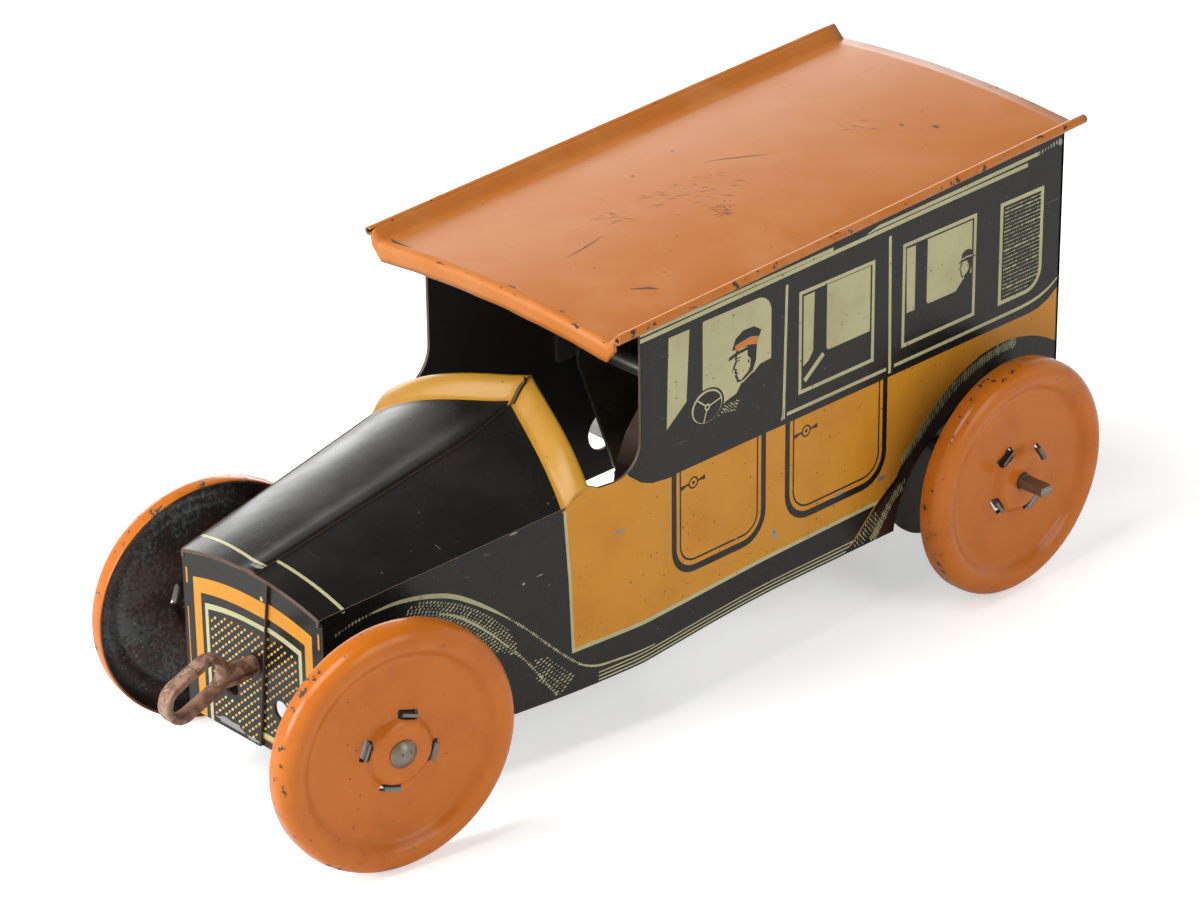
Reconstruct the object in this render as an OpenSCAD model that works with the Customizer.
// Tinplate toy taxi with a clockwork motor, in millimetres.
// The car faces -Y, its own left side is +X, and its wheels stand on Z = 0.

/* [Body] */
// Half width of the cab over its sides
cab_half_w = 28.8; // [27:0.1:32]
// Half width of the radiator at its corners
rad_half_w = 18.8; // [16:0.1:21]
// Thickness of the body sheet
sheet = 0.6; // [0.4:0.05:0.8]
// Height of the lower edge of the body at the radiator
sill_z = 12.6; // [10:0.1:14]
// Rise of the lower edge from the front to the cab
sill_rise = 3.2; // [0:0.1:4]
// Front face of the radiator
rad_y = -80.5; // [-84:0.5:-79.5]
// Front edge of the cab sides, where the sheet bends in towards the radiator
bend_y = -12.2; // [-15:0.1:-10]
// Rear face of the back
back_y = 101.4; // [101:0.1:106]
// Lower edge of the back
back_low_z = 20; // [16:0.5:24]
// Height of the radiator's top corners
rad_corner_z = 45.4; // [43:0.1:47]
// Rise of the radiator's top edge from its corners to the middle
rad_crown = 2.6; // [1:0.1:4]
// Lap of one body half past the middle, on the outside
outer_lap = 2; // [1:0.1:3]
// Lap of the other body half past the middle, underneath
under_lap = 4; // [3:0.1:4.4]

/* [Bonnet and cowl] */
// Cowl line at the middle of the bonnet
cowl_mid_y = -16.9; // [-19:0.1:-15]
// Height of the bonnet at the middle of the cowl line
cowl_mid_z = 59.2; // [57:0.1:61]
// Cowl line at the side of the bonnet
cowl_side_y = -28.6; // [-31:0.1:-27]
// Height of the bonnet's edge at the side of the cowl line
cowl_side_z = 51; // [50:0.1:52]
// Depth of the rolled cowl bead along the car
bead_run = 4.8; // [3:0.1:6]
// Rise of the cowl bead over its depth
bead_rise = 3.2; // [2:0.1:4]
// Bulge of the cowl bead above a straight slope
bead_bulge_h = 0.8; // [0.3:0.1:1.2]
// Height of the bottom of the door openings
notch_z = 52.8; // [51.5:0.1:54]
// Corner radius of the door openings
notch_r = 6.5; // [4:0.1:8]

/* [Openings in the body] */
// Distance of the rear wheel arch's middle behind the rear axle
arch_shift = 1; // [0:0.1:2]
// Height of the rear wheel arch's middle
arch_z = 13; // [12:0.1:14]
// Radius of the rear wheel arch
arch_r = 22.5; // [18:0.1:23]
// Height of the pull ring's hole in the radiator
ring_z = 29; // [28.5:0.1:30.5]
// Distance of the two lower radiator holes from the middle
vent_x = 6.6; // [6:0.1:10]
// Height of the two lower radiator holes
vent_z = 22; // [21:0.1:24]
// Diameter of the two lower radiator holes
vent_d = 4; // [3:0.1:5]
// Space round the front axle in its two slots
slot_space = 0.8; // [0.5:0.1:1.5]
// Diameter of the hole that the winding square passes through
wind_hole_d = 8; // [6.5:0.1:10]

/* [Roof] */
// Distance of the curled roof beads from the middle
roof_bead_x = 33; // [32:0.1:36]
// Distance of the foot of the bead flange from the middle
roof_foot_x = 30.4; // [30:0.1:31.5]
// Front edge of the roof
roof_front_y = -22; // [-26:0.1:-18]
// Reach of the roof past the back
roof_overhang = 0.6; // [0.2:0.1:6]
// Height of the roof sheet at its front edge, beside the beads
roof_front_z = 82.6; // [78:0.1:86]
// Upward slope of the roof to the rear, in degrees
roof_slope = 2.3; // [0:0.1:3]
// Crown of the roof between the beads
roof_crown = 1.8; // [0.8:0.1:3]
// Thickness of the roof sheet
roof_sheet = 0.5; // [0.4:0.05:0.8]
// Outer diameter of the curled beads
roof_bead_d = 1.8; // [1.4:0.1:2.4]
// Height of the bead's middle above the roof sheet
roof_bead_rise = 1.5; // [1:0.1:2.5]
// Depth of the visor lip
visor_drop = 4; // [2:0.1:6]
// Slant of the visor lip's ends
visor_slant = 2; // [1:0.1:3]

/* [Wheels] */
// Radius of the wheels
wheel_r = 24; // [22:0.1:25]
// Width of the tyre-like rim
rim_w = 5.2; // [4.4:0.1:6]
// Radius of the rim's rounded face
rim_round = 3; // [2.6:0.1:3.6]
// Thickness of the wheel sheet
wheel_sheet = 0.7; // [0.5:0.05:0.9]
// Height of the flat disc over the rim's middle
disc_z = 1; // [0.5:0.1:1.6]
// Radius of the raised boss
boss_r = 7; // [6:0.1:9]
// Height of the boss over the disc
boss_h = 1.9; // [1:0.1:2.6]
// Length of the collar that is drawn inward round the wheel's bore
collar_len = 3; // [2:0.1:4]
// Number of lanced slots round the boss
lance_count = 4; // [3:1:6]
// Length of a lanced slot
lance_len = 4.2; // [3:0.1:5]
// Width of a lanced slot
lance_w = 1.5; // [1:0.1:2]
// Height of the axles
axle_z = 24; // [24:0.1:25]
// Diameter of both axles
axle_d = 3.2; // [2.8:0.1:3.6]

/* [Front axle] */
// Front axle along the car
front_axle_y = -70; // [-71:0.1:-68]
// Middle of a front wheel's rim from the axle's middle
front_track = 33.2; // [32.8:0.1:36]
// Angle that the front axle stands turned at rest, in degrees
steer_rest = 10.5; // [0:0.5:11]
// Diameter of the domed axle heads
axle_head_d = 5.4; // [4.6:0.1:6.5]
// Height of the domed axle heads
axle_head_h = 1.3; // [0.8:0.1:1.8]
// Width of the pinched lugs that stop a front wheel from sliding in
lug_w = 5.2; // [4.4:0.1:6]
// Thickness of the cross bar and of the yoke
strap = 1; // [0.8:0.1:1.4]
// Underside of the cross bar
crossbar_z = 36; // [35:0.1:38]
// Width of the cross bar along the car
crossbar_w = 10; // [8:0.1:12]
// Width of the yoke along the car
yoke_w = 8; // [7:0.1:9]
// Half distance between the outer faces of the yoke's ears
yoke_half_w = 9; // [7:0.1:12]
// Diameter of the king rivet
king_d = 3; // [2.5:0.1:3.5]
// Diameter of the king rivet's heads
king_head_d = 6; // [5:0.1:7]

/* [Pull ring] */
// Diameter of the ring's shank
shank_d = 4; // [3.4:0.1:4.4]
// Foremost point of the ring
ring_tip_y = -101.3; // [-105:0.1:-99]
// Outer radius of the ring's round ends
ring_r = 4.2; // [4.1:0.1:5.2]
// Thickness of the ring's wire
ring_wire = 1.5; // [1.3:0.1:1.6]
// Width of the ring's flat wire
ring_w = 3; // [2:0.1:3.6]
// Length of the ring's eye
ring_len = 15.2; // [13:0.1:16.4]
// Downward bend of the ring's eye, in degrees
ring_droop = 20; // [0:1:24]
// Height of the middle of the ring's eye above its shank
ring_rise = 0.6; // [-0.5:0.1:1]
// Reach of the opened legs behind the radiator
leg_len = 3.6; // [3:0.1:4]

/* [Motor] */
// Distance from the rear axle to the back
rear_overhang = 24.9; // [24.5:0.1:26]
// Middle of a rear wheel's rim from the middle of the car
rear_track = 40; // [38.5:0.1:43]
// Reach of the rear axle past the wheel's boss
axle_stub_len = 5.9; // [4:0.1:9]
// Thickness of the flattened axle ends
flat_end = 1.8; // [1.4:0.1:2.4]
// Outer face of the motor plates from the middle
plate_x = 20.2; // [20:0.1:22]
// Thickness of the motor plates
plate_t = 0.8; // [0.6:0.1:1.2]
// Corner radius of the motor plates
plate_r = 6; // [6:0.1:8]
// Radius of the rounded lower rear end of the motor plates
lobe_r = 14; // [10:0.1:15]
// Drop of that rounded end's middle below the rear axle
lobe_drop = 5; // [3:0.1:5]
// Bend of the gear train at the idler, in degrees
train_bend = 24.2; // [20:0.1:30]
// Upward angle from the rear axle to the winding arbor, in degrees
arbor_lift = 1.5; // [0:0.5:4]
// Tooth size of the gears
gear_module = 0.9; // [0.88:0.01:0.92]
// Thickness of the gears
gear_t = 1.2; // [0.8:0.1:1.6]
// Length of the pinions
pinion_len = 4; // [3:0.1:4.4]
// Diameter of the winding arbor
arbor_d = 5; // [4:0.1:6]
// Diameter of the winding arbor's journals
arbor_journal_d = 3; // [2.5:0.1:3.4]
// Width across the corners of the winding square
wind_square = 3; // [2.4:0.1:3.4]
// Reach of the winding square past the body side
wind_reach = 3; // [1:0.1:5]
// Diameter of the idler arbor
idler_d = 3.2; // [2.8:0.1:4]
// Diameter of the idler arbor's journals
idler_journal_d = 2.2; // [1.8:0.1:2.6]
// Distance of the front pillar from the winding arbor
pillar_arm_len = 25; // [24:0.1:26]
// Diameter of the motor pillars
pillar_d = 3.5; // [3:0.1:4.5]
// Diameter of the pillars' riveted tails
tail_d = 2; // [1.6:0.1:2.4]
// Width of the brackets that hold the motor
bracket_w = 8; // [6:0.1:8]
// Width of the mainspring's strip
spring_w = 5; // [4:0.1:12]
// Thickness of the mainspring's strip
spring_t = 0.5; // [0.3:0.05:0.7]
// Inner radius of the mainspring
spring_in = 4.5; // [3.6:0.1:6]
// Outer radius of the mainspring's last full turn
spring_out = 18.5; // [16:0.1:20]
// Turns of the mainspring
spring_turns = 6; // [4:1:8]

/* [Fits] */
// Radial clearance of a shaft that turns in a bore
run_fit = 0.05; // [0.03:0.01:0.09]
// Clearance between faces that slide past each other
face_gap = 0.15; // [0.1:0.05:0.3]
// Distance of the great gear from the middle, on the right
great_gear_off = 5.8; // [5:0.1:6.5]
// Distance of the idler gear from the middle, on the right
idler_gear_off = 14; // [13:0.1:15]

/* [Hidden] */
$fn = 64;
great_teeth = 40;
idler_teeth = 40;
pinion_teeth = 10;
far = 200;
rear_axle_y = back_y - rear_overhang;
arch_y = rear_axle_y + arch_shift;
roof_rear_y = back_y + roof_overhang;
rear_axle_half = rear_track + disc_z + boss_h + axle_stub_len;
taper = atan2(cab_half_w - rad_half_w, bend_y - rad_y);
hood_len = norm([cab_half_w - rad_half_w, bend_y - rad_y]);
hood_lip = 0.2;
roof_arc_r = (roof_foot_x * roof_foot_x + roof_crown * roof_crown) / (2 * roof_crown);
roof_len = (roof_rear_y - roof_front_y) / cos(roof_slope);
rim_mid = wheel_r - rim_round;
boss_top = disc_z + boss_h;
plate_in = plate_x - plate_t;
side_in = cab_half_w - sheet;
addendum = 0.8 * gear_module;
dedendum = 1.05 * gear_module;
mesh_great = (great_teeth + pinion_teeth) * gear_module / 2;
mesh_idler = (idler_teeth + pinion_teeth) * gear_module / 2;

// Places of the motor's arbors and pillars in the side view, as [y, z]
function polar(r, a) = [r * cos(a), r * sin(a)];
axle_at = [rear_axle_y, axle_z];
arbor_reach = sqrt(pow(mesh_great, 2) + pow(mesh_idler, 2) + 2 * mesh_great * mesh_idler * cos(train_bend));
arbor_at = axle_at + polar(arbor_reach, 180 - arbor_lift);
idler_swing = acos((pow(mesh_idler, 2) + pow(arbor_reach, 2) - pow(mesh_great, 2))
    / (2 * mesh_idler * arbor_reach));
idler_dir = 180 - arbor_lift - idler_swing;
idler_at = axle_at + polar(mesh_idler, idler_dir);
great_dir = atan2(idler_at[1] - arbor_at[1], idler_at[0] - arbor_at[0]);
front_pillar_dir = 110;
front_pillar_at = arbor_at + polar(pillar_arm_len, front_pillar_dir);
rear_pillar_at = axle_at + polar(mesh_idler, 80);
lobe_at = axle_at - [0, lobe_drop];
low_pillar_at = lobe_at + polar(lobe_r - plate_r / 2 - pillar_d / 2, 24);

// Places of the motor's pieces across the car, from the right side to the left
idler_gear_x = -idler_gear_off;
great_gear_x = -great_gear_off;
ratchet_t = 1;
ratchet_x = great_gear_x - gear_t / 2 - ratchet_t;
idler_pinion_x = great_gear_x + gear_t / 2 + 0.2 - pinion_len / 2;
spring_x = great_gear_x + gear_t / 2 + 0.6;
ratchet_tip = 7;
ratchet_root = 5.6;
ratchet_teeth = 16;

// Lower edge of the body, which rises from sill_from to sill_to
sill_from = -34;
sill_to = 26;
sill_steps = 15;
// How far the door opening's round corner runs past the bend, so that it meets the cab at a clear angle
notch_past = 0.15;
function sill_at(y) = let (s = max(0, min(1, (y - sill_from) / (sill_to - sill_from))))
    sill_z + sill_rise * s * s * (3 - 2 * s);
sill_run = [for (k = [0 : sill_steps])
    let (y = sill_from + (sill_to - sill_from) * k / sill_steps) [y, sill_at(y)]];
// Half width of the bonnet's side at a place along the car
function hood_x(y) = rad_half_w + (y - rad_y) * tan(taper);
// Distance along the bonnet's slanted side from the radiator's corner
function hood_u(y) = (y - rad_y) / cos(taper);
// Share of the way from the radiator to the side end of the cowl line
function hood_share(y) = (y - rad_y) / (cowl_side_y - rad_y);
// Height of the bonnet's middle line
function hood_mid_z(y) = rad_corner_z + rad_crown
    + (y - rad_y) / (cowl_mid_y - rad_y) * (cowl_mid_z - rad_corner_z - rad_crown);
// Height of the bonnet's side edge
function hood_edge_z(y) = rad_corner_z + hood_share(y) * (cowl_side_z - rad_corner_z);
// Fall of the bonnet across a section, rounder near the cowl than at the radiator
function hood_fall(t, y) = let (s = min(1, hood_share(y))) (1 - 0.75 * s) * t * t + 0.75 * s * pow(t, 4);
// Bonnet surface at a share t of the half width
function hood_z(t, y) = hood_mid_z(y) - (hood_mid_z(y) - hood_edge_z(y)) * hood_fall(t, y);
// Swept-back cowl line over the bonnet
function cowl_y(t) = cowl_mid_y + (cowl_side_y - cowl_mid_y) * (1.24 * t - 0.24 * t * t);
function hood_point(t, y) = [(hood_x(y) - sheet / 2) * t, y, hood_z(t, y) - (t == 1 ? sheet / 3 : 0)];
function bead_point(t, share) = hood_point(t, cowl_y(t)) + [
    tan(taper) * t * bead_run * share,
    bead_run * share,
    bead_rise * share + bead_bulge_h * sin(180 * share)
];

hood_rows = 4;
bead_rows = 4;
hood_cols = 10;
hood_grid = [
    for (row = [0 : hood_rows + bead_rows])
        [for (col = [0 : hood_cols])
            let (t = col / hood_cols, front = rad_y - hood_lip)
            row <= hood_rows
                ? hood_point(t, front + (cowl_y(t) - front) * row / hood_rows)
                : bead_point(t, (row - hood_rows) / bead_rows)]
];

// A sheet of even thickness under a grid of points, seen from above
module thick_sheet(grid, thickness) {
    rows = len(grid);
    cols = len(grid[0]);
    function along(i, j) = grid[min(i + 1, rows - 1)][j] - grid[max(i - 1, 0)][j];
    function across(i, j) = grid[i][min(j + 1, cols - 1)] - grid[i][max(j - 1, 0)];
    function turned(i, j) = cross(along(i, j), across(i, j));
    function level(n) = [0, n[1], n[2]] / norm([n[1], n[2]]);
    function inward(i, j) = j == 0 ? level(turned(i, j)) : turned(i, j) / norm(turned(i, j));
    top = [for (i = [0 : rows - 1]) for (j = [0 : cols - 1]) grid[i][j]];
    under = [for (i = [0 : rows - 1]) for (j = [0 : cols - 1]) grid[i][j] + thickness * inward(i, j)];
    n = rows * cols;
    function at(i, j) = i * cols + j;
    skin = [for (i = [0 : rows - 2]) for (j = [0 : cols - 2])
        each [[at(i, j), at(i + 1, j), at(i + 1, j + 1)], [at(i, j), at(i + 1, j + 1), at(i, j + 1)]]];
    rim = concat(
        [for (j = [0 : cols - 1]) at(0, j)],
        [for (i = [1 : rows - 1]) at(i, cols - 1)],
        [for (j = [cols - 2 : -1 : 0]) at(rows - 1, j)],
        [for (i = [rows - 2 : -1 : 1]) at(i, 0)]
    );
    walls = [for (k = [0 : len(rim) - 1]) let (a = rim[k], b = rim[(k + 1) % len(rim)])
        each [[a, b, b + n], [a, b + n, a + n]]];
    faces = concat(skin, [for (f = skin) [f[2] + n, f[1] + n, f[0] + n]], walls);
    polyhedron(concat(top, under), faces);
}

// Draws an outline of the side view, given as [y, z], as a plate from x = from_x to to_x
module side_plate(from_x, to_x) {
    translate([from_x, 0, 0]) rotate([90, 0, 90]) linear_extrude(to_x - from_x) children();
}

// Draws an outline of the front view, given as [x, z], as a plate from y = from_y to to_y
module cross_plate(from_y, to_y) {
    translate([0, to_y, 0]) rotate([90, 0, 0]) linear_extrude(to_y - from_y) children();
}

// A round bar along X through a point of the side view
module shaft(at, from_x, to_x, d) {
    translate([from_x, at[0], at[1]]) rotate([0, 90, 0]) cylinder(d = d, h = to_x - from_x);
}

// Moves a shape from the roof's own sloping frame to its place
module on_roof() {
    translate([0, roof_front_y, roof_front_z]) rotate([roof_slope, 0, 0]) children();
}

module roof_arc(drop) {
    translate([0, roof_crown - roof_arc_r - drop]) circle(r = roof_arc_r, $fn = 256);
}

// All the space above the roof's underside, which trims the body to the roof
module over_roof() {
    on_roof() cross_plate(-far, far) difference() {
        translate([-far, -far / 2]) square([2 * far, far]);
        roof_arc(roof_sheet);
    }
}

module cab_side() {
    difference() {
        side_plate(side_in, cab_half_w) difference() {
            translate([bend_y, sill_z]) square([back_y - bend_y, far / 2]);
            translate([arch_y, arch_z]) circle(r = arch_r);
            translate([arch_y, 0]) square([far, back_low_z]);
        }
        over_roof();
    }
}

// The slanted side of the bonnet, with the rounded corner of the door opening
module hood_side(front_gap) {
    bead_u = hood_u(cowl_side_y + bead_run);
    bead_z = cowl_side_z + bead_rise - sheet / 2;
    corner_u = hood_len - notch_r + notch_past;
    translate([rad_half_w, rad_y, 0]) rotate([0, 0, -taper]) side_plate(-sheet, 0) difference() {
        polygon([
            [front_gap, sill_z],
            [hood_len, sill_z],
            [hood_len, notch_z + notch_r],
            [corner_u, notch_z + notch_r],
            [corner_u, notch_z],
            [bead_u + bead_run / 2, notch_z],
            [bead_u, bead_z],
            [hood_u(cowl_side_y), cowl_side_z],
            [front_gap, rad_corner_z]
        ]);
        translate([corner_u, notch_z + notch_r]) circle(r = notch_r);
    }
}

module radiator_half(lap, front_gap) {
    steps = 8;
    top = [for (k = [0 : steps]) [rad_half_w * k / steps, hood_z(k / steps, rad_y) - sheet / 2]];
    cross_plate(rad_y + front_gap, rad_y + front_gap + sheet) difference() {
        polygon(concat([[-lap, sill_z], [rad_half_w, sill_z]], [for (k = [steps : -1 : 0]) top[k]],
            [[-lap, hood_z(lap / rad_half_w, rad_y) - sheet / 2]]));
        translate([0, ring_z]) circle(d = shank_d + 2 * run_fit);
        translate([vent_x, vent_z]) circle(d = vent_d);
    }
}

module back_half(lap, back_gap) {
    difference() {
        cross_plate(back_y - back_gap - sheet, back_y - back_gap)
            translate([-lap, back_low_z]) square([cab_half_w + lap, far / 2]);
        over_roof();
    }
}

// All the space under the rising lower edge
module below_sill() {
    side_plate(rad_half_w / 2, cab_half_w + 1) polygon(concat(sill_run, [
        [back_y + 1, sill_at(sill_to)],
        [back_y + 1, 0],
        [sill_from, 0]
    ]));
}

// Slot in the bonnet's side that leaves the axle room to turn
module axle_slot() {
    reach = hood_x(front_axle_y) * tan(steer_rest) + slot_space;
    side_plate(rad_half_w / 2, cab_half_w) {
        translate([front_axle_y - reach, axle_z - axle_d / 2 - slot_space])
            square([2 * reach, axle_d + 2 * slot_space]);
        for (s = [-1, 1])
            translate([front_axle_y + s * reach, axle_z]) circle(d = axle_d + 2 * slot_space);
    }
}

// One body half, drawn on the +X side
module body_half(front_lap, front_gap, back_lap, back_gap) {
    difference() {
        union() {
            cab_side();
            hood_side(front_gap);
        }
        axle_slot();
        below_sill();
    }
    thick_sheet(hood_grid, sheet);
    radiator_half(front_lap, front_gap);
    back_half(back_lap, back_gap);
}

module body_left() {
    color("#2b2a28") body_half(under_lap, sheet, outer_lap, 0);
}

module body_right() {
    color("#2b2a28") difference() {
        mirror([1, 0, 0]) body_half(outer_lap, 0, under_lap, sheet);
        shaft(arbor_at, -cab_half_w - 1, -side_in + 1, wind_hole_d);
    }
}

module roof() {
    flange = [roof_bead_x - roof_foot_x, roof_bead_rise];
    color("#c8743a") on_roof() {
        cross_plate(0, roof_len) {
            intersection() {
                difference() {
                    roof_arc(0);
                    roof_arc(roof_sheet);
                }
                translate([-roof_foot_x, -far / 2]) square([2 * roof_foot_x, far]);
            }
            for (s = [0, 1]) mirror([s, 0]) {
                polygon([
                    [roof_foot_x - roof_sheet, 0],
                    [roof_foot_x - roof_sheet, -roof_sheet],
                    [roof_foot_x, -roof_sheet],
                    [roof_foot_x + flange[0], flange[1] - roof_sheet],
                    [roof_foot_x + flange[0], flange[1]]
                ]);
                translate([roof_bead_x, roof_bead_rise]) difference() {
                    circle(d = roof_bead_d);
                    circle(d = roof_bead_d - 1.6 * roof_sheet);
                }
            }
        }
        cross_plate(0, roof_sheet) {
            intersection() {
                difference() {
                    roof_arc(roof_sheet / 2);
                    roof_arc(visor_drop);
                }
                translate([-roof_foot_x, -far / 2]) square([2 * roof_foot_x, far]);
            }
            for (s = [0, 1]) mirror([s, 0]) polygon([
                [roof_foot_x - roof_sheet, -roof_sheet / 2],
                [roof_bead_x - roof_bead_d / 4, roof_bead_rise - roof_sheet],
                [roof_bead_x - roof_bead_d / 4, -visor_drop / 4],
                [roof_foot_x - roof_sheet + visor_slant / 4, -visor_drop],
                [roof_foot_x - roof_sheet, -visor_drop]
            ]);
        }
    }
}

// Outline of the ring's eye in the side view, with its middle at the origin
module eye_outline(r) {
    straight = ring_len - 2 * ring_r;
    rotate(ring_droop) {
        square([straight, 2 * r - 0.02], center = true);
        for (side = [-1, 1]) translate([side * straight / 2, 0]) circle(r = r);
    }
}

module pull_ring() {
    eye_at = [ring_tip_y + ring_r + (ring_len / 2 - ring_r) * cos(ring_droop), ring_rise];
    end_at = eye_at + polar(ring_len / 2 - ring_r, ring_droop);
    shank_y = end_at[0] + sqrt(pow(ring_r - ring_wire / 2, 2) - pow(end_at[1], 2));
    neck = rad_y + 2 * sheet;
    leg_turn = 24;
    color("#6b4a3c") translate([0, 0, ring_z]) {
        side_plate(-ring_w / 2, ring_w / 2) translate(eye_at) difference() {
            eye_outline(ring_r);
            eye_outline(ring_r - ring_wire);
        }
        translate([0, shank_y, 0]) rotate([-90, 0, 0]) cylinder(d = shank_d, h = neck - shank_y);
        for (s = [-1, 1])
            translate([s * shank_d / 8, neck - shank_d / 8, 0]) rotate([0, 0, -s * leg_turn])
                translate([-shank_d / 8, 0, -shank_d / 3]) cube([shank_d / 4, leg_len, shank_d / 1.5]);
    }
}

module front_crossbar() {
    from_y = front_axle_y - crossbar_w / 2;
    to_y = front_axle_y + crossbar_w / 2;
    wall = sheet / cos(taper);
    color("#8c8a84") translate([0, 0, crossbar_z]) difference() {
        linear_extrude(strap) polygon([
            [wall - hood_x(from_y), from_y], [hood_x(from_y) - wall, from_y],
            [hood_x(to_y) - wall, to_y], [wall - hood_x(to_y), to_y]
        ]);
        translate([0, front_axle_y, -1]) cylinder(d = king_d, h = strap + 2);
    }
}

yoke_top = crossbar_z - face_gap;

module king_rivet() {
    head = 1.2;
    lower = yoke_top - strap - face_gap;
    color("#9a978f") translate([0, front_axle_y, 0]) {
        translate([0, 0, lower - head]) cylinder(d = king_head_d, h = head);
        translate([0, 0, lower - head]) cylinder(d = king_d, h = crossbar_z + strap - lower + 2 * head);
        translate([0, 0, crossbar_z + strap]) cylinder(d = king_head_d, h = head);
    }
}

// Draws what turns with the front axle, in a frame on the axle's middle
module steered() {
    translate([0, front_axle_y, axle_z]) rotate([0, 0, -steer_rest]) children();
}

module front_yoke() {
    ear_drop = 3.2;
    color("#7d7a74") steered() difference() {
        union() {
            translate([-yoke_half_w, -yoke_w / 2, yoke_top - strap - axle_z])
                cube([2 * yoke_half_w, yoke_w, strap]);
            for (s = [-1, 1])
                translate([s > 0 ? yoke_half_w - strap : -yoke_half_w, -yoke_w / 2, -ear_drop])
                    cube([strap, yoke_w, yoke_top - axle_z + ear_drop]);
        }
        translate([0, 0, yoke_top - axle_z - strap - 1]) cylinder(d = king_d + 2 * run_fit, h = strap + 2);
        rotate([0, 90, 0]) translate([0, 0, -far / 2]) cylinder(d = axle_d, h = far);
    }
}

module domed_head(d, h) {
    r = (d * d / 4 + h * h) / (2 * h);
    intersection() {
        translate([0, 0, h - r]) sphere(r = r);
        cylinder(d = d, h = h);
    }
}

front_axle_half = front_track + boss_top + face_gap;
lug_x = front_track + boss_top - collar_len - face_gap;

module front_axle() {
    lug_t = 1;
    color("#8f8678") steered() {
        rotate([0, 90, 0]) translate([0, 0, -front_axle_half])
            cylinder(d = axle_d, h = 2 * front_axle_half);
        for (s = [0, 1]) mirror([s, 0, 0]) {
            translate([front_axle_half, 0, 0]) rotate([0, 90, 0]) domed_head(axle_head_d, axle_head_h);
            translate([lug_x - lug_t, -lug_w / 2, -axle_d / 4]) cube([lug_t, lug_w, axle_d / 2]);
        }
    }
}

// Section of a pressed wheel, from its bore to the rim, with the outer face upward
module wheel_section(bore_d) {
    rim_in = rim_round - wheel_sheet;
    boss_in = boss_r - boss_h * 0.8;
    collar_r = bore_d / 2 + wheel_sheet;
    difference() {
        translate([rim_mid, 0]) difference() {
            circle(r = rim_round);
            circle(r = rim_in);
        }
        translate([0, disc_z - wheel_sheet - rim_round]) square([rim_mid, rim_round]);
        translate([0, -rim_round]) square([wheel_r + 1, rim_round]);
    }
    translate([wheel_r - wheel_sheet, rim_round - rim_w]) square([wheel_sheet, rim_w - rim_round]);
    disc_out = rim_mid - sqrt(pow(rim_in, 2) - pow(disc_z, 2));
    translate([boss_r, disc_z - wheel_sheet]) square([disc_out - boss_r, wheel_sheet]);
    polygon([
        [boss_r + wheel_sheet, disc_z - wheel_sheet],
        [boss_r + wheel_sheet, disc_z],
        [boss_r, disc_z],
        [boss_in, boss_top],
        [bore_d / 2, boss_top],
        [bore_d / 2, boss_top - collar_len],
        [collar_r, boss_top - collar_len],
        [collar_r, boss_top - wheel_sheet],
        [boss_in - wheel_sheet / 2, boss_top - wheel_sheet],
        [boss_r - wheel_sheet, disc_z - wheel_sheet]
    ]);
}

// A wheel that faces +X, with its rim's middle in the plane X = 0
module wheel(bore_d, lance_turn) {
    color("#c8682c") rotate([0, 90, 0]) difference() {
        rotate_extrude($fn = 128) wheel_section(bore_d);
        for (k = [0 : lance_count - 1]) rotate([0, 0, 360 * k / lance_count + lance_turn])
            translate([boss_r - lance_w / 2, -lance_len / 2, 0]) cube([lance_w, lance_len, boss_top + 1]);
    }
}

module wheel_front_left() {
    steered() translate([front_track, 0, 0]) wheel(axle_d + 2 * run_fit, 73);
}

module wheel_front_right() {
    steered() mirror([1, 0, 0]) translate([front_track, 0, 0]) wheel(axle_d + 2 * run_fit, 73);
}

module wheel_rear_left() {
    translate([rear_track, rear_axle_y, axle_z]) wheel(axle_d, 32);
}

module wheel_rear_right() {
    mirror([1, 0, 0]) translate([rear_track, rear_axle_y, axle_z]) wheel(axle_d, 32);
}

module rear_axle() {
    round_half = rear_track + boss_top + 0.4;
    color("#84796c") {
        shaft(axle_at, -round_half, round_half, axle_d);
        intersection() {
            shaft(axle_at, -rear_axle_half, rear_axle_half, axle_d);
            translate([-far / 2, rear_axle_y - axle_d, axle_z - flat_end / 2])
                cube([far, 2 * axle_d, flat_end]);
        }
    }
}

module axle_collars() {
    collar_d = 7;
    collar_t = 1.4;
    color("#a39c90") for (s = [0, 1]) mirror([s, 0, 0]) difference() {
        shaft(axle_at, plate_in - face_gap - collar_t, plate_in - face_gap, collar_d);
        shaft(axle_at, 0, plate_in, axle_d);
    }
}

// Angle of an involute from its base circle, in degrees
function involute(r, base) = r <= base ? 0 : sqrt(pow(r / base, 2) - 1) * 180 / PI - acos(base / r);

// Outline of a gear with one tooth on the +x axis; the teeth are thinned for backlash
module gear_outline(teeth) {
    pitch_r = teeth * gear_module / 2;
    base = pitch_r * cos(20);
    tip = pitch_r + addendum;
    root = pitch_r - dedendum;
    half = 90 / teeth * 0.8 + involute(pitch_r, base);
    radii = [root, max(base, root + 0.05), pitch_r, tip];
    polygon([for (k = [0 : teeth - 1]) each concat(
        [for (r = radii) polar(r, 360 * k / teeth - half + involute(r, base))],
        [for (i = [1 : len(radii)]) let (r = radii[len(radii) - i])
            polar(r, 360 * k / teeth + half - involute(r, base))]
    )]);
}

// A gear on an arbor, with one tooth turned to the direction dir of the side view
module gear(at, x, thickness, teeth, dir, bore_d) {
    side_plate(x - thickness / 2, x + thickness / 2) translate(at) difference() {
        rotate(dir) gear_outline(teeth);
        circle(d = bore_d);
    }
}

module great_gear() {
    color("#b08d4a") gear(arbor_at, great_gear_x, gear_t, great_teeth, great_dir, arbor_d);
}

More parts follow.
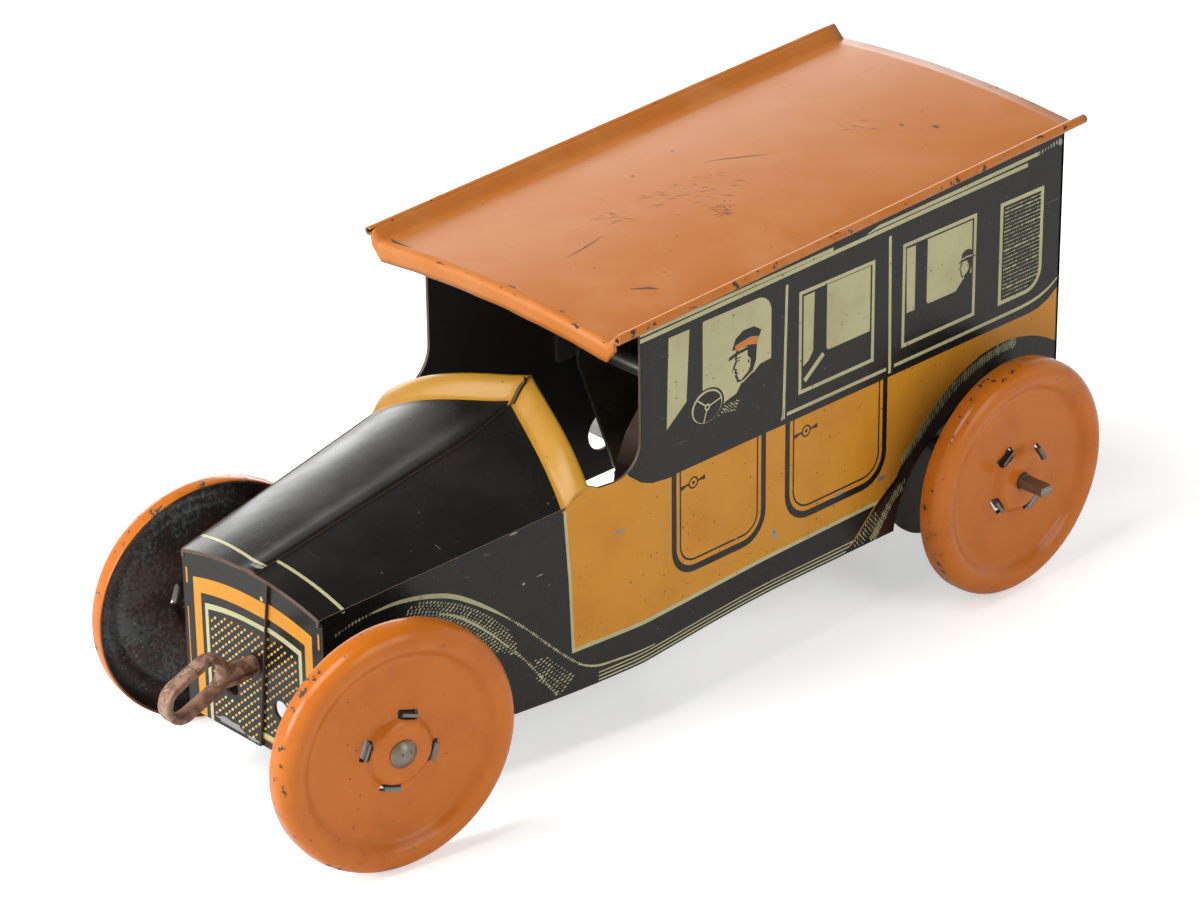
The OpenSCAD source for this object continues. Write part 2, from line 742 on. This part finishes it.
module idler_pinion() {
    dir = great_dir + 180 + 180 / pinion_teeth;
    color("#b08d4a") gear(idler_at, idler_pinion_x, pinion_len, pinion_teeth, dir, idler_d);
}

module idler_gear() {
    color("#b08d4a") gear(idler_at, idler_gear_x, gear_t, idler_teeth, idler_dir + 180, idler_d);
}

module axle_pinion() {
    dir = idler_dir + 180 / pinion_teeth;
    color("#b08d4a") gear(axle_at, idler_gear_x, pinion_len, pinion_teeth, dir, axle_d);
}

module idler_arbor() {
    color("#8f8a80") {
        shaft(idler_at, face_gap - plate_in, plate_in - face_gap, idler_d);
        shaft(idler_at, -plate_x - 0.6, plate_x + 0.6, idler_journal_d);
    }
}

module winding_arbor() {
    square_end = cab_half_w + wind_reach;
    color("#8f8a80") {
        shaft(arbor_at, face_gap - plate_in, plate_in - face_gap, arbor_d);
        shaft(arbor_at, -plate_x - 0.6, plate_x + 0.6, arbor_journal_d);
        side_plate(-square_end, -plate_x - 0.6) translate(arbor_at)
            square(wind_square / sqrt(2), center = true);
    }
}

module ratchet_wheel() {
    pitch = 360 / ratchet_teeth;
    color("#9a978f") side_plate(ratchet_x, ratchet_x + ratchet_t) translate(arbor_at) difference() {
        polygon([for (k = [0 : ratchet_teeth - 1])
            each [polar(ratchet_root, k * pitch), polar(ratchet_tip, (k + 0.96) * pitch)]]);
        circle(d = arbor_d);
    }
}

// The click rests in a gap of the ratchet wheel and lies on the great gear
module click() {
    pivot = polar(ratchet_tip + 4.5, 42);
    color("#7d7a74") side_plate(ratchet_x, ratchet_x + ratchet_t) translate(arbor_at) {
        translate(pivot) circle(r = 1.8);
        polygon([
            polar(ratchet_root + 0.5, 2.4),
            polar(ratchet_tip + 0.9, 2.4),
            pivot + polar(1.8, -50),
            pivot + polar(1.8, 130),
            polar(ratchet_tip + 0.4, 14)
        ]);
    }
}

// A bar of the motor plate between two points, with round ends
module plate_bar(a, b) {
    d = b - a;
    half_w = plate_r - 0.15;
    translate(a) circle(r = plate_r);
    translate(a) rotate(atan2(d[1], d[0])) translate([0, -half_w]) square([norm(d), 2 * half_w]);
}

module plate_outline() {
    corners = [arbor_at, lobe_at, rear_pillar_at, front_pillar_at];
    difference() {
        union() {
            polygon(corners);
            for (k = [0 : 3]) plate_bar(corners[k], corners[(k + 1) % 4]);
            translate(lobe_at) circle(r = lobe_r);
        }
        translate(axle_at) circle(d = axle_d + 2 * run_fit);
        translate(arbor_at) circle(d = arbor_journal_d + 2 * run_fit);
        translate(idler_at) circle(d = idler_journal_d + 2 * run_fit);
        for (p = [front_pillar_at, rear_pillar_at, low_pillar_at]) translate(p) circle(d = tail_d);
    }
}

module motor_plate_left() {
    color("#9b9a95") side_plate(plate_in, plate_x) plate_outline();
}

module motor_plate_right() {
    color("#9b9a95") side_plate(-plate_x, -plate_in) plate_outline();
}

module pillar(at) {
    color("#8f8a80") {
        shaft(at, -plate_in, plate_in, pillar_d);
        shaft(at, -plate_x, plate_x, tail_d);
    }
}

module pillar_front() {
    pillar(front_pillar_at);
}

module pillar_rear() {
    pillar(rear_pillar_at);
}

module pillar_low() {
    pillar(low_pillar_at);
}

// A bent strip from the outside of a motor plate to the inside of the body, on the +X side
module bracket(at) {
    t = strap;
    color("#8c8a84") translate([0, at[0] - bracket_w / 2, at[1] - bracket_w / 2]) {
        translate([plate_x, 0, 0]) cube([t, bracket_w, bracket_w]);
        translate([plate_x, 0, bracket_w - t]) cube([side_in - plate_x, bracket_w, t]);
        translate([side_in - t, 0, 0]) cube([t, bracket_w, bracket_w]);
    }
}

module bracket_front_left() {
    bracket(front_pillar_at);
}

module bracket_front_right() {
    mirror([1, 0, 0]) bracket(front_pillar_at);
}

module bracket_rear_left() {
    bracket(rear_pillar_at);
}

module bracket_rear_right() {
    mirror([1, 0, 0]) bracket(rear_pillar_at);
}

// The mainspring winds outward to the front pillar, which its end rests on
spring_steps = 24;
spring_last = spring_steps * spring_turns;
spring_end_r = pillar_arm_len - pillar_d / 2 - spring_t / 2;
function spring_r(k) = spring_in + (spring_out - spring_in) * k / spring_last
    + (spring_end_r - spring_out) * pow(max(0, k - spring_last + spring_steps / 2) / (spring_steps / 2), 2);
function spring_point(k, side) = polar(spring_r(k) + side * spring_t / 2,
    front_pillar_dir - 360 * (k - spring_last) / spring_steps);
spring_gap = min([for (k = [spring_steps : spring_last])
    norm(spring_point(k, -1) - spring_point(k - spring_steps, 1))]);
echo(str("mainspring: least gap between turns ", spring_gap, " mm"));

module mainspring() {
    color("#5d4a3e") side_plate(spring_x, spring_x + spring_w) translate(arbor_at) polygon(concat(
        [for (k = [0 : spring_last]) spring_point(k, 1)],
        [for (k = [spring_last : -1 : 0]) spring_point(k, -1)]
    ));
}

body_left();
body_right();
roof();
pull_ring();
front_crossbar();
king_rivet();
front_yoke();
front_axle();
wheel_front_left();
wheel_front_right();
rear_axle();
wheel_rear_left();
wheel_rear_right();
axle_collars();
axle_pinion();
motor_plate_left();
motor_plate_right();
pillar_front();
pillar_rear();
pillar_low();
bracket_front_left();
bracket_front_right();
bracket_rear_left();
bracket_rear_right();
mainspring();
winding_arbor();
great_gear();
ratchet_wheel();
click();
idler_arbor();
idler_pinion();
idler_gear();
